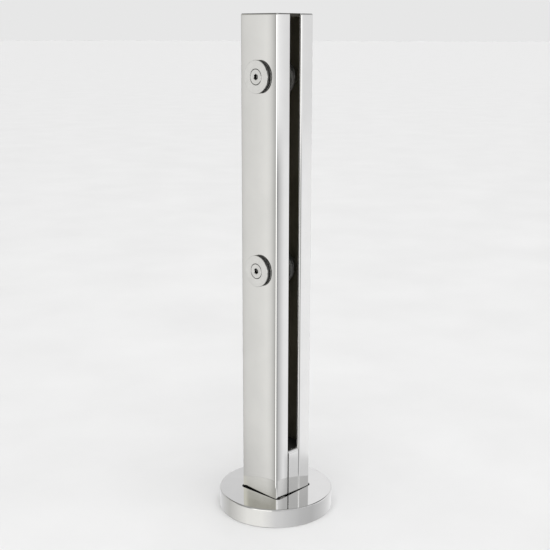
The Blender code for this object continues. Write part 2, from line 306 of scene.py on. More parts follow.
# each look: a cloud of noise that tints the colour and a finer grain that sets the shine, with bump depths
rimPaintedShadeLook = {      # side of a button: machined, left unpolished, fine lines round the rim; its near-black tones are painted shade
    "metallic": 1.0, "dark": (0.135, 0.135, 0.13), "light": (0.19, 0.19, 0.183),
    "cloud": {"scale": 120, "detail": 4, "shift": (1, 4, 2)},
    "grain": {"scale": 900, "stretch": (3, 0.15, 0.15)},
    "roughness": (0.34, 0.48), "grainDepth": 0.004 * mm,
}
millLook = {     # unpolished steel: dull scale with drawn lines and a brown tinge; the tones given with it are also darkened as painted shade
    "metallic": 0.6, "cloud": {"scale": 35, "stretch": (1, 1, 0.4), "detail": 6, "roughness": 0.65},
    "grain": {"scale": 500, "stretch": (1, 1, 0.03)},
    "roughness": (0.38, 0.6), "cloudDepth": 0.03 * mm, "grainDepth": 0.008 * mm,
}
satinLook = {    # brushed plate
    "metallic": 1.0, "dark": (0.46, 0.46, 0.45), "light": (0.58, 0.58, 0.57),
    "cloud": {"scale": 40, "detail": 4, "shift": (2, 5, 1)},
    "grain": {"scale": 600, "detail": 4, "roughness": 0.65},
    "roughness": (0.26, 0.42), "grainDepth": 0.006 * mm,
}
sawnPaintedLightLook = {     # sawn and deburred side of the slot: pale, matt, with saw lines across it; the pale tones are painted light, standing in for the light the side catches
    "metallic": 0.35, "dark": (0.80, 0.80, 0.80), "light": (0.90, 0.90, 0.90),
    "cloud": {"scale": 90, "detail": 4, "shift": (6, 2, 3)},
    "grain": {"scale": 900, "stretch": (1, 0.1, 1)},
    "roughness": (0.35, 0.5), "grainDepth": 0.005 * mm,
}
nylonLook = {    # moulded, with faint flow lines along the sleeve
    "metallic": 0.0, "dark": (0.70, 0.69, 0.63), "light": (0.83, 0.82, 0.78),
    "cloud": {"scale": 140, "detail": 4},
    "grain": {"scale": 600, "stretch": (0.2, 1, 1), "detail": 2},
    "roughness": (0.34, 0.5), "grainDepth": 0.008 * mm, "glow": 0.12, "glowReach": 2 * mm,
}


def layeredFinish(name, look, stretch=None, dark=None, light=None):
    # stretch and the two tones, where given, stand in for those of the look
    finish, tree, shader, spot = startFinish(name, look["metallic"])
    cloud = noise(tree, spot, **look["cloud"])
    grain = noise(tree, spot, **(look["grain"] | ({"stretch": stretch} if stretch else {})))
    tones = twoTone(tree, cloud, dark or look["dark"], light or look["light"])
    tree.links.new(tones, shader.inputs["Base Color"])
    tree.links.new(toRange(tree, grain, *look["roughness"]), shader.inputs["Roughness"])
    bumps = [(cloud, look["cloudDepth"])] if "cloudDepth" in look else []
    addBumps(tree, shader, *bumps, (grain, look["grainDepth"]))
    if "glow" in look:
        shader.inputs["Subsurface Weight"].default_value = look["glow"]
        shader.inputs["Subsurface Scale"].default_value = look["glowReach"]
    return finish


weldLook = {
    "tintSize": 90, "tintStretch": (1, 1, 2.2), "grainSize": 1100,
    "tints": [(0.32, (0.33, 0.36, 0.44)), (0.5, (0.52, 0.51, 0.49)), (0.68, (0.60, 0.53, 0.40))],
    "roughness": (0.24, 0.44), "depth": 0.01 * mm,
}


def weldSteel(name):
    # brushed bead with straw and blue tint left along it
    finish, tree, shader, spot = startFinish(name, 1.0)
    tint = noise(tree, spot, weldLook["tintSize"], weldLook["tintStretch"], detail=5)
    ramp = addNode(tree, "ShaderNodeValToRGB", {"Fac": tint})
    stops = ramp.color_ramp.elements
    (first, blue), (between, grey), (last, straw) = weldLook["tints"]
    stops[0].position, stops[0].color = first, (*blue, 1)
    stops[1].position, stops[1].color = last, (*straw, 1)
    stops.new(between).color = (*grey, 1)
    grain = noise(tree, spot, weldLook["grainSize"])
    tree.links.new(ramp.outputs["Color"], shader.inputs["Base Color"])
    tree.links.new(toRange(tree, grain, *weldLook["roughness"]), shader.inputs["Roughness"])
    addBumps(tree, shader, (grain, weldLook["depth"]))
    return finish


rubberLook = {"dustSize": 110, "grainSize": 2200, "dustDepth": 0.02 * mm, "grainDepth": 0.012 * mm}


def rubber(name, dark, light, roughness=(0.55, 0.75)):
    finish, tree, shader, spot = startFinish(name, 0.0)
    dust = noise(tree, spot, rubberLook["dustSize"], detail=6, roughness=0.7)
    grain = noise(tree, spot, rubberLook["grainSize"], detail=2)
    tree.links.new(twoTone(tree, dust, dark, light), shader.inputs["Base Color"])
    tree.links.new(toRange(tree, dust, *roughness), shader.inputs["Roughness"])
    addBumps(tree, shader, (dust, rubberLook["dustDepth"]), (grain, rubberLook["grainDepth"]))
    return finish


wallPolish = polishedSteel("wall_polish", (1, 1, 0.02))
coverPolish = polishedSteel("cover_polish", (1, 0.12, 1))
coverSide = polishedSteel("cover_side_polish", (0.03, 0.03, 1))
# inside of the tube: unpolished mill steel, its tones darkened further as painted shade of the slot's interior
tubeInsideMillAndShade = layeredFinish("tube_inside_mill_and_shade", millLook, None, (0.20, 0.18, 0.128), (0.29, 0.268, 0.208))
# sides of the top plate, set back in the slot: their near-black tones are painted shade
plateSidePaintedShade = layeredFinish("plate_side_painted_shade", millLook, None, (0.03, 0.028, 0.021), (0.06, 0.056, 0.045))
lineSatin = layeredFinish("satin_plate", satinLook, (0.06, 1, 1))
cutEdge = layeredFinish("slot_cut_edge_painted_light", sawnPaintedLightLook)
print("finishes ready")


tube = {
    "side": 50 * mm, "wall": 2.5 * mm,
    "cornerRadius": 2.2 * mm, "leastRadius": 0.05 * mm, "cornerSteps": 14,
    "shoulderDepth": 0.33 * mm, "shoulderReach": 5.5 * mm,   # how the flats ease off towards the corners
    "faceSteps": 37, "slotFaceSteps": 16,
    "insideCorner": 1 * mm,
    "slotWidth": 15 * mm, "slotEdge": 1.4 * mm, "slotEdgeSteps": 10, "slotInsideEdge": 0.25 * mm,
    "support": 0.15 * mm,                                    # flat strip beside a rounded slot edge
    "topEdge": 1.6 * mm, "topSteps": 14, "topSupport": 0.5 * mm, "footBand": 30 * mm,
    "spigotHole": 9.4 * mm, "holeFrom": 19 * mm, "holeTo": 28 * mm, "holeSteps": 64,
}
tubeLow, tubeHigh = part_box("post_tube")


def tubeOutline(inset):
    # each face is the half side less an exponential shoulder, and each corner an arc that takes over the
    # shoulder's slope; the walk starts inside the right lip and runs anticlockwise round the C
    half = tube["side"] / 2 - inset
    left = 1 - inset / tube["wall"]              # share of the wall that is left: it scales small edges
    depth, reach = tube["shoulderDepth"] * left, tube["shoulderReach"]
    radius = max(tube["cornerRadius"] - inset, tube["leastRadius"])
    lean = np.arctan(depth / reach)
    middle = half - depth - radius * np.cos(lean)
    faceEnd = middle + radius * np.sin(lean)

    def facePoints(start, end, count):
        spread = np.sin(np.linspace(np.arcsin(start / faceEnd), np.arcsin(end / faceEnd), count)) * faceEnd
        return np.stack([spread, -(half - depth * np.exp((np.abs(spread) - faceEnd) / reach))], axis=-1)

    def quarterTurn(points, times):
        c, s = [(1, 0), (0, 1), (-1, 0), (0, -1)][times]
        return points @ np.array([[c, s], [-s, c]])

    def mirrored(points):
        return points[::-1] * (-1, 1)

    cornerStart, cornerEnd = -90 + np.degrees(lean), -np.degrees(lean)
    corner = arcPoints((middle, -middle), radius, cornerStart, cornerEnd, tube["cornerSteps"])[1:-1]
    face = facePoints(-faceEnd, faceEnd, tube["faceSteps"])
    lipX = tube["slotWidth"] / 2 + inset
    edge = tube["slotEdge"] * left
    rightFace = facePoints(lipX + edge, faceEnd, tube["slotFaceSteps"])
    lipTop = rightFace[0, 1] + edge
    lipBend = arcPoints((lipX + edge, lipTop), edge, 180, 270, tube["slotEdgeSteps"])[:-1]
    rightLip = np.concatenate([[[lipX, lipTop + tube["support"] * left]], lipBend])
    outer = [rightLip, rightFace, corner]
    for times in (1, 2, 3):
        outer += [quarterTurn(face, times), quarterTurn(corner, times)]
    outer += [mirrored(rightFace), mirrored(rightLip)]
    inner = tube["side"] / 2 - tube["wall"]
    small = tube["slotInsideEdge"] * left
    insideEdge = arcPoints((-lipX - small, -inner - small), small, 0, 90, 3)
    insideFlat = np.linspace([-lipX - 2 * small, -inner], [-inner + 1.2 * tube["insideCorner"], -inner], 4)
    insideCorner = roundedProfile([(-inner, -inner), (-inner, inner), (inner, inner), (inner, -inner)],
                                  [tube["insideCorner"]] * 4, 4, 0.2 * mm)
    outline = np.concatenate(outer + [insideEdge, insideFlat, insideCorner,
                                      mirrored(insideFlat), mirrored(insideEdge)])
    outsideCount = sum(len(part) for part in outer)
    return outline, outsideCount


def makeTube():
    # the outline is carried straight up the post; near the top its inset grows along a quarter circle
    angle = np.linspace(0, pi / 2, tube["topSteps"] + 1)
    edge = tube["topEdge"]
    heights = [tubeLow.z, tubeLow.z + tube["footBand"], tubeHigh.z - edge - tube["topSupport"],
               *(tubeHigh.z - edge + edge * np.sin(angle))]
    insets = [0, 0, 0, *(edge * (1 - np.cos(angle)))]
    layers = []
    for height, inset in zip(heights, insets):
        outline, outsideCount = tubeOutline(inset)
        layers.append(np.column_stack([outline, np.full(len(outline), height)]))
    grid = np.stack(layers)
    inside = (np.arange(grid.shape[1]) >= outsideCount).astype(int)
    inside[[-1, outsideCount - 1]] = 2           # the cut sides of the two slot lips
    piece = skin("PostTube", grid, [wallPolish, tubeInsideMillAndShade, cutEdge], capEnds=True, finishOf=inside[None, :])
    hole, holeFrom, holeTo = tube["spigotHole"], tube["holeFrom"], tube["holeTo"]
    cutters = []
    for side in ("upper", "lower"):
        plug = turnedGrid([holeFrom, holeFrom, holeTo, holeTo], [0, hole, hole, 0], tube["holeSteps"],
                          clampCentre(side))
        cutters.append(skin("cutter", plug, [tubeInsideMillAndShade]))
    cutAway(piece, cutters)
    standIn(piece, "post_tube", "post")


def clampCentre(side):
    low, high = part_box(side + "_clamp_button")
    return np.array([0, (low.y + high.y) / 2, (low.z + high.z) / 2])


makeTube()
print("post tube made")


plates = {"topEdge": 0.25 * mm, "cornerRadius": 1 * mm, "padEdge": 0.4 * mm}
filler = {
    "roundDeep": 2.6 * mm, "roundHigh": 4.5 * mm, "edge": 0.15 * mm, "steps": 14,
    "backChamfer": (0.02 * mm, 0.1 * mm), "support": 0.3 * mm,
    "leftGap": 0.5 * mm,                              # the strip sits off to the right in the slot
}


def boxOutline(low, high, radius):
    return roundedProfile([(low.x, low.y), (high.x, low.y), (high.x, high.y), (low.x, high.y)], [radius] * 4)


def makePlate(name, node, radius, edge, finishes):
    # the first finish is on the top and bottom, the last one round the sides
    low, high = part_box(node)
    grid = plateGrid(boxOutline(low, high, radius), low.z, high.z, edge)
    piece = skin(name, grid, finishes, capEnds=True, finishOf=np.array([[len(finishes) - 1]]))
    standIn(piece, node, "post")


def makeFiller():
    # side outline in Y and Z with a quarter ellipse at its upper front, carried along X
    low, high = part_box("slot_filler_strip")
    angle = np.linspace(pi / 2, 0, filler["steps"] + 1)
    curve = np.stack([low.y + filler["roundDeep"] * (1 - np.cos(angle)),
                      high.z - filler["roundHigh"] * (1 - np.sin(angle))], axis=-1)
    back, drop = filler["backChamfer"]
    outline = np.concatenate([[(low.y, low.z), (high.y, low.z), (high.y, high.z - drop),
                               (high.y - back, high.z)], curve,
                              [(low.y, high.z - filler["roundHigh"] - filler["support"])]])
    places, insets = edgeSteps(low.x + filler["leftGap"], high.x, filler["edge"])
    layers = [np.column_stack([np.full(len(outline), x), shrunk(outline, inset)])
              for x, inset in zip(places, insets)]
    piece = skin("SlotFiller", np.stack(layers), [wallPolish], capEnds=True)
    standIn(piece, "slot_filler_strip", "post")


makePlate("TopPlate", "top_closure_plate", plates["cornerRadius"], plates["topEdge"],
          [wallPolish, plateSidePaintedShade])
makeFiller()
makePlate("GlassSeatPlate", "glass_seat_plate", plates["cornerRadius"], plates["topEdge"], [lineSatin])
makePlate("GlassSeatPad", "glass_seat_pad", plates["cornerRadius"], plates["padEdge"],
          [rubber("seat_rubber", (0.012, 0.012, 0.012), (0.03, 0.03, 0.028))])
print("top plate, slot filler and glass seat made")


flange = {
    "edge": 0.8 * mm, "steps": 144,
    "boltCircle": 40 * mm, "boltHole": 5.5 * mm, "holeChamfer": 0.6 * mm, "holeSteps": 40, "past": 1 * mm,
    "dark": (0.44, 0.44, 0.43), "light": (0.56, 0.56, 0.55),
}
bead = {
    "corner": 3.3 * mm, "acrossSteps": 11,
    "ripple": 1.9 * mm, "rippleDepth": 0.16 * mm, "sweep": 0.35, "samplesPerRipple": 8,
    "bow": 0.35 * mm, "lean": 0.7,               # lean shares a rise between outwards and upwards
}
cover = {
    "wall": 1.6 * mm, "edge": 1.1 * mm, "footEdge": 0.3 * mm, "insideEdge": 0.8 * mm,
    "holeSide": 53 * mm, "holeCorner": 5 * mm, "holeEdge": 0.25 * mm, "twist": 2.9,
    "sideSteps": 37, "cornerSteps": 20, "edgeSteps": 8, "holeEdgeSteps": 4,
}


def makeFlange():
    # a profile turned round the post's axis, with four drilled and chamfered holes taken out of it
    low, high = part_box("base_flange")
    radius, edge = high.x, flange["edge"]
    profile = roundedProfile([(low.z, 0), (low.z, radius), (high.z, radius), (high.z, 0)], [0, edge, edge, 0],
                             5, closed=False)
    finish = turnedSteel("flange_turning", (0, 0, 0), (1, 1, 0), flange["dark"], flange["light"],
                         **turned["coarse"])
    piece = skin("BaseFlange", turnedGrid(profile[:, 0], profile[:, 1], flange["steps"]), [finish])
    hole, chamfer, past = flange["boltHole"], flange["holeChamfer"], flange["past"]
    along = [low.z - past, low.z - past, high.z - chamfer, high.z + past, high.z + past]
    width = [0, hole, hole, hole + chamfer + past, 0]
    cutters = []
    for quarter in range(4):
        middle = flange["boltCircle"] * np.array([np.cos(quarter * pi / 2), np.sin(quarter * pi / 2), 0])
        cutters.append(skin("cutter", turnedGrid(along, width, flange["holeSteps"]) + middle, [finish]))
    cutAway(piece, cutters)
    standIn(piece, "base_flange", "post")


def makeBead():
    # fillet section carried round a rounded square; a sine along the path, bent back over the section,
    # raises the ripples of a hand-laid weld
    low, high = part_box("base_weld_bead")
    leg = high.z - low.z
    inner = high.x - leg
    square = roundedProfile([(-inner, -inner), (inner, -inner), (inner, inner), (-inner, inner)],
                            [bead["corner"]] * 4, 8)
    closed = np.concatenate([square, square[:1]])
    walked = np.concatenate([[0], np.cumsum(np.linalg.norm(np.diff(closed, axis=0), axis=1))])
    ripples = round(walked[-1] / bead["ripple"])
    station = np.linspace(0, walked[-1], ripples * bead["samplesPerRipple"], endpoint=False)
    path = np.stack([np.interp(station, walked, closed[:, axis]) for axis in (0, 1)], axis=-1)
    along = np.roll(path, -1, axis=0) - np.roll(path, 1, axis=0)
    along /= np.linalg.norm(along, axis=1)[:, None]
    outwards = np.stack([along[:, 1], -along[:, 0]], axis=-1)
    across = np.linspace(0, 1, bead["acrossSteps"])[:, None]
    hump = np.sin(pi * across)
    phase = 2 * pi * (station / walked[-1] * ripples + bead["sweep"] * hump)
    fade = hump ** 0.7
    rise = bead["rippleDepth"] * fade * (np.sin(phase) * 0.5 - 0.5) + bead["bow"] * (hump - 1) * fade
    sideways = leg * (1 - across) + rise * bead["lean"]
    upwards = leg * across + rise * bead["lean"]
    sideways = np.concatenate([np.zeros((1, len(station))), np.clip(sideways, 0, leg)])
    upwards = np.concatenate([np.zeros((1, len(station))), np.clip(upwards, 0, leg)])
    grid = np.concatenate([path[None] + outwards[None] * sideways[..., None],
                           (low.z + upwards)[..., None]], axis=-1)
    piece = skin("BaseWeldBead", grid, [weldSteel("weld_bead")], closeAlong=True, sharpAngle=60)
    standIn(piece, "base_weld_bead", "post")


def makeCover():
    # every column is one direction from the axis: it runs from the square hole over the top, round the
    # edge, down the side and back up inside to the hole
    low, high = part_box("base_cover")
    radius, wall, edge = high.x, cover["wall"], cover["edge"]
    half, corner = cover["holeSide"] / 2, cover["holeCorner"]
    parts = []
    for quarter in range(4):
        flat = np.linspace([half, -half + corner], [half, half - corner], cover["sideSteps"])[:-1]
        bend = arcPoints((half - corner, half - corner), corner, 0, 90, cover["cornerSteps"])[:-1]
        angle = radians(90 * quarter + cover["twist"])
        turn = np.array([[np.cos(angle), np.sin(angle)], [-np.sin(angle), np.cos(angle)]])
        parts += [flat @ turn, bend @ turn]
    hole = np.concatenate(parts)
    direction = hole / np.linalg.norm(hole, axis=1)[:, None]
    small, foot = cover["holeEdge"], cover["footEdge"]
    section = roundedProfile([(high.z, 0), (high.z, radius), (low.z, radius), (low.z, radius - wall),
                              (high.z - wall, radius - wall), (high.z - wall, 0)],
                             [0, edge, foot, foot, cover["insideEdge"], 0], cover["edgeSteps"], closed=False)
    section = section[1:-1]                      # without the two points on the axis

    def level(height, points):
        return np.column_stack([points, np.full(len(points), height)])

    rows = [level(high.z - wall + small, hole), level(high.z - small, hole)]
    for a in np.linspace(0, pi / 2, cover["holeEdgeSteps"] + 1)[1:]:
        rows.append(level(high.z - small * (1 - np.sin(a)), hole + direction * small * (1 - np.cos(a))))
    rows.append(level(high.z, hole + direction * 2 * small))
    rows += [level(height, direction * reach) for height, reach in section]
    rows.append(level(high.z - wall, hole + direction * 2 * small))
    rows.append(level(high.z - wall, hole + direction * small))
    grid = np.stack(rows)
    outwards = np.hypot(grid[:, 0, 0], grid[:, 0, 1])
    outside = (grid[:, 0, 2] < high.z - edge * 0.5) & (outwards > radius - wall * 0.5)
    below = np.arange(len(grid)) > np.flatnonzero(outside).max()
    finishOf = np.where(outside, 1, np.where(below, 2, 0))[:, None]
    piece = skin("BaseCover", grid, [coverPolish, coverSide, lineSatin], closeAlong=True, finishOf=finishOf)
    standIn(piece, "base_cover", "cover")


makeFlange()
makeBead()
makeCover()
print("flange, weld bead and cover made")


clamp = {
    "buttonRadius": 15.6 * mm, "buttonFace": 28.4 * mm, "buttonThick": 2.2 * mm, "buttonEdge": 0.35 * mm,
    "spigotRadius": 9 * mm, "spigotTip": 19.4 * mm, "bore": 4.35 * mm, "mouth": 7.55 * mm,
    "mouthEdge": 0.35 * mm, "headLand": 0.6 * mm,
    "gasketRadius": 15.2 * mm, "gasketBore": 9.4 * mm, "gasketEdge": 0.12 * mm,
    "discRadius": 12.5 * mm, "discHub": 7 * mm, "discThick": 3 * mm,
    "padRadius": 13 * mm, "padBore": 9.1 * mm, "padEdge": 0.45 * mm, "padBoreEdge": 0.2 * mm,
    "sleeveRadius": 5.1 * mm, "sleeveBore": 4.2 * mm, "sleeveEdge": 0.25 * mm, "sleeveBoreEdge": 0.15 * mm,
    "bossHub": 8 * mm, "steps": 96, "support": 0.12 * mm,
}
clampTones = {                                   # dark and light
    "face": ((0.77, 0.77, 0.76), (0.83, 0.83, 0.82)), "head": ((0.74, 0.74, 0.73), (0.82, 0.82, 0.81)),
    # the socket's near-black tones are painted shade of the deep hexagon hole
    "socket": ((0.10, 0.10, 0.10), (0.16, 0.16, 0.155)), "thread": ((0.40, 0.40, 0.39), (0.55, 0.55, 0.54)),
    "disc": ((0.42, 0.42, 0.41), (0.55, 0.55, 0.54)), "boss": ((0.30, 0.30, 0.29), (0.42, 0.42, 0.41)),
    "gasket": ((0.05, 0.05, 0.05), (0.09, 0.09, 0.088)), "pad": ((0.13, 0.128, 0.122), (0.19, 0.187, 0.178)),
    "padRoughness": (0.38, 0.52),
}
screw = {
    "radius": 3.9 * mm, "length": 50 * mm, "steps": 72,
    "headRadius": 7.1 * mm, "headLand": 0.6 * mm, "headEdge": 0.3 * mm, "innerHead": 4 * mm,
    "threadLength": 30 * mm, "pitch": 1.25 * mm, "threadDepth": 0.66 * mm, "samplesPerTurn": 10,
    "runIn": 1.2 * mm, "runOut": 1.5 * mm, "tipTaper": 0.9 * mm,
    "acrossFlats": 5 * mm, "socketDepth": 3.5 * mm, "socketChamfer": 0.25 * mm, "sharpAngle": 38,
}


def ringPiece(name, node, body, corners, radii, centre, finishes, finishOfProfile=None):
    # a closed section of (distance outwards, radius) turned round the clamp axis
    profile = roundedProfile(corners, radii, support=clamp["support"])
    finishOf = None if finishOfProfile is None else finishOfProfile(profile)[:, None]
    piece = skin(name, turnedGrid(profile[:, 0], profile[:, 1], clamp["steps"], centre), finishes,
                 closeAlong=True, finishOf=finishOf)
    standIn(piece, node, body)


def makeButton(side, centre, finishes):
    # section of the button and its spigot: bore, countersunk mouth, face, rim, back and spigot
    face = clamp["buttonFace"]
    back, land = face - clamp["buttonThick"], face - clamp["headLand"]
    bore, mouth, radius = clamp["bore"], clamp["mouth"], clamp["buttonRadius"]
    tip, spigot, edge = clamp["spigotTip"], clamp["spigotRadius"], clamp["buttonEdge"]
    corners = [(tip, bore), (land - (mouth - bore), bore), (land, mouth), (face, mouth),
               (face, radius), (back, radius), (back, spigot), (tip, spigot)]
    radii = [0.2 * mm, 0.3 * mm, 0.1 * mm, clamp["mouthEdge"], edge, 0.2 * mm, 0.2 * mm, 0.4 * mm]

    def rimBand(profile):
        return ((profile[:, 1] > radius - 0.02 * mm) & (profile[:, 0] < face - edge * 0.9)).astype(int)

    ringPiece(side.title() + "ClampButton", side + "_clamp_button", side + "_button",
              corners, radii, centre, finishes, rimBand)


def makeScrew(side, centre, finishes):
    # radius and distance of every point are functions of the section and of the angle: the thread is a
    # rounded V that climbs one pitch a turn, and the socket a hexagon drawn in polar form
    face = clamp["buttonFace"]
    steps = screw["steps"]
    angle = np.linspace(0, 2 * pi, steps, endpoint=False)
    tip = face - screw["length"]
    radius, depth, pitch = screw["radius"], screw["threadDepth"], screw["pitch"]
    count = round(screw["threadLength"] / pitch * screw["samplesPerTurn"])
    along = tip + np.linspace(0, 1, count + 1) * screw["threadLength"]
    turnShare = (along[:, None] - tip) / pitch - angle[None, :] / (2 * pi)
    groove = np.abs((turnShare % 1) - 0.5) * 2
    runIn = np.clip((along - tip) / screw["runIn"], 0, 1)[:, None]
    runOut = np.clip((tip + screw["threadLength"] - along) / screw["runOut"], 0, 1)[:, None]
    cut = np.clip(groove * 1.25 - 0.12, 0, 1)    # flat at the crest and at the root
    thread = radius - depth * cut * runOut - screw["tipTaper"] * (1 - runIn) ** 1.5
    hexagon = screw["acrossFlats"] / 2 / np.cos((angle + pi / 6) % (pi / 3) - pi / 6)
    land = face - screw["headLand"]
    neck = land - (screw["headRadius"] - radius)
    edge = screw["headEdge"]
    head = roundedProfile([(neck - 4 * mm, radius), (neck, radius), (land, screw["headRadius"]),
                           (face, screw["headRadius"]), (face, screw["innerHead"])],
                          [0, 0.4 * mm, 0.12 * mm, edge, 0], 5, 0.1 * mm, closed=False)
    chamfer = screw["socketChamfer"]
    ones = np.ones(steps)
    bottom = face - screw["socketDepth"]
    alongRows = [tip * ones, *(along[:, None] * ones), *(head[:, :1] * ones), face * ones,
                 (face - 0.02 * mm) * ones, (face - chamfer) * ones, (face - chamfer - 0.2 * mm) * ones,
                 bottom * ones, (bottom - 0.1 * mm) * ones, (bottom - 0.9 * mm) * ones]      # ends in a cone
    openRadius = screw["acrossFlats"] / np.sqrt(3) + 0.12 * mm
    radiusRows = [0 * ones, *thread, *(head[:, 1:] * ones), (openRadius + 0.15 * mm) * ones,
                  openRadius * ones, hexagon, hexagon, hexagon, hexagon * 0.93, 0 * ones]
    alongRows, radiusRows = np.stack(alongRows), np.stack(radiusRows)
    finishOf = np.zeros((len(alongRows) - 1, 1), int)
    finishOf[-4:] = 1                            # the socket
    finishOf[:count + 1] = 2                     # the thread
    piece = skin(side.title() + "ClampScrew", turnedGrid(alongRows, radiusRows, steps, centre), finishes,
                 finishOf=finishOf, sharpAngle=screw["sharpAngle"])
    standIn(piece, side + "_clamp_screw", side + "_screw")


def spanOf(node):
    # nearest and farthest distance from the post's axis, towards the button
    low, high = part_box(node)
    return -high.x, -low.x


def plainRing(node, bore, radius):
    near, far = spanOf(node)
    return [(near, bore), (far, bore), (far, radius), (near, radius)]


def makeClamp(side):
    centre = clampCentre(side)
    title, turning = side.title(), (tuple(centre), (0, 1, 1))
    face = turnedSteel(side + "_button_face", *turning, *clampTones["face"], **turned["fine"])
    # the rim's finish is steel darkened as painted shade
    makeButton(side, centre, [face, layeredFinish(side + "_button_rim_painted_shade", rimPaintedShadeLook)])
    head = turnedSteel(side + "_screw_head", *turning, *clampTones["head"], **turned["fine"])
    # the socket walls are darkened as painted shade of the hole
    socket = layeredFinish(side + "_socket_wall_painted_shade", satinLook, (0.2, 1, 1), *clampTones["socket"])
    thread = layeredFinish(side + "_thread", satinLook, None, *clampTones["thread"])
    makeScrew(side, centre, [head, socket, thread])

    node = side + "_button_gasket"
    ringPiece(title + "ButtonGasket", node, side + "_button",
              plainRing(node, clamp["gasketBore"], clamp["gasketRadius"]), [clamp["gasketEdge"]] * 4, centre,
              [rubber(side + "_gasket_rubber", *clampTones["gasket"])])

    node = side + "_pressure_disc"
    near, far = spanOf(node)
    plateFar, disc, hub = near + clamp["discThick"], clamp["discRadius"], clamp["discHub"]
    ringPiece(title + "PressureDisc", node, side + "_squeeze",
              [(near, clamp["bore"]), (far, clamp["bore"]), (far, hub), (plateFar, hub), (plateFar, disc),
               (near, disc)],
              [0.2 * mm, 0.2 * mm, 0.4 * mm, 0.5 * mm, 0.3 * mm, 0.3 * mm], centre,
              [turnedSteel(side + "_disc_turning", *turning, *clampTones["disc"], **turned["disc"])])

    padRubber = rubber(side + "_pad_rubber", *clampTones["pad"], clampTones["padRoughness"])
    for name, pad, body in (("NearPad", "_near_pad", side + "_squeeze"), ("FarPad", "_far_pad", "post")):
        low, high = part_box(side + pad)
        hanging = np.array([0, centre[1], (low.z + high.z) / 2])      # the pads hang loose on the screw
        ringPiece(title + name, side + pad, body,
                  plainRing(side + pad, clamp["padBore"], clamp["padRadius"]),
                  [clamp["padBoreEdge"]] * 2 + [clamp["padEdge"]] * 2, hanging, [padRubber])

    node = side + "_screw_sleeve"
    ringPiece(title + "ScrewSleeve", node, "post",
              plainRing(node, clamp["sleeveBore"], clamp["sleeveRadius"]),
              [clamp["sleeveBoreEdge"]] * 2 + [clamp["sleeveEdge"]] * 2, centre,
              [layeredFinish(side + "_sleeve_nylon", nylonLook)])

    node = side + "_threaded_boss"
    near, far = spanOf(node)
    plateNear, bore, hub = far - clamp["discThick"], clamp["sleeveBore"], clamp["bossHub"]
    ringPiece(title + "ThreadedBoss", node, "post",
              [(near, bore), (far, bore), (far, disc), (plateNear, disc), (plateNear, hub), (near, hub)],
              [0.3 * mm, 0.3 * mm, 0.3 * mm, 0.3 * mm, 0.6 * mm, 0.3 * mm], centre,
              [turnedSteel(side + "_boss_turning", *turning, *clampTones["boss"], **turned["boss"])])


for side in ("upper", "lower"):
    makeClamp(side)
print("clamps made")


shot = {
    "place": (-0.7070, -0.6924, 0.4826), "heading": 45.52, "pitch": -13.42, "roll": 0.11,    # metres, degrees
    "lens": 66.54, "sensor": 36,                                                             # millimetres
    "near": 0.01, "far": 100,
}
studio = {
    "floorRadius": 60, "floorRings": 28, "floorSteps": 96, "floorDrop": 0.2 * mm, "firstRing": 0.2,
    "floorTone": (0.72, 0.76), "floorRoughness": (0.55, 0.7), "mottleSize": 6,
    "backTone": 0.80,                                                    # what shows past the floor
    "sunPower": 2.35, "sunAngle": 60, "sunLean": 15,
    "overheadPower": 2, "overheadSize": 2.4, "overheadPlace": (-0.3, -0.5, 2.0), "overheadAim": (0, 0, 0.2),
}


def makeCamera():
    lensData = bpy.data.cameras.new("shot_camera")
    lensData.lens, lensData.sensor_width = shot["lens"], shot["sensor"]
    lensData.clip_start, lensData.clip_end = shot["near"], shot["far"]
    camera = bpy.data.objects.new("shot_camera", lensData)
    bpy.context.scene.collection.objects.link(camera)
    turn = (Matrix.Rotation(radians(-shot["heading"]), 4, "Z")
            @ Matrix.Rotation(radians(90 + shot["pitch"]), 4, "X")
            @ Matrix.Rotation(radians(shot["roll"]), 4, "Z"))
    camera.matrix_world = Matrix.Translation(shot["place"]) @ turn
    bpy.context.scene.camera = camera


def makeFloor():
    # a round pale floor, wide enough to run out to the horizon: rings whose radii grow by one ratio
    ring = np.geomspace(studio["firstRing"], studio["floorRadius"], studio["floorRings"])
    ring = np.concatenate([[0], ring])
    grid = turnedGrid(np.full(len(ring), cadLow.z - studio["floorDrop"]), ring, studio["floorSteps"])
    finish, tree, shader, spot = startFinish("pale_floor", 0.0)
    mottle = noise(tree, spot, studio["mottleSize"], detail=5)
    dark, light = studio["floorTone"]
    tree.links.new(twoTone(tree, mottle, (dark,) * 3, (light,) * 3), shader.inputs["Base Color"])
    tree.links.new(toRange(tree, mottle, *studio["floorRoughness"]), shader.inputs["Roughness"])
    floor = skin("StudioFloor", grid, [finish])
    if floor.data.polygons[0].normal.z < 0:
        floor.data.flip_normals()
    floor.visible_glossy = False


def addOverhead():
    where = Vector(studio["overheadPlace"])
    lamp = bpy.data.lights.new("overhead_soft", "AREA")
    lamp.shape, lamp.size, lamp.energy = "DISK", studio["overheadSize"], studio["overheadPower"]
    light = bpy.data.objects.new("overhead_soft", lamp)
    bpy.context.scene.collection.objects.link(light)
    light.location = where
    light.rotation_euler = (Vector(studio["overheadAim"]) - where).to_track_quat("-Z", "Y").to_euler()
    light.visible_glossy = False


def addSun():
    # even light from above the camera's shoulder, soft enough to leave no hard shadow
    lamp = bpy.data.lights.new("sky_soft", "SUN")
    lamp.energy, lamp.angle = studio["sunPower"], radians(studio["sunAngle"])
    sun = bpy.data.objects.new("sky_soft", lamp)
    bpy.context.scene.collection.objects.link(sun)
    sun.rotation_euler = (radians(studio["sunLean"]), 0, radians(-shot["heading"]))
    sun.visible_glossy = False


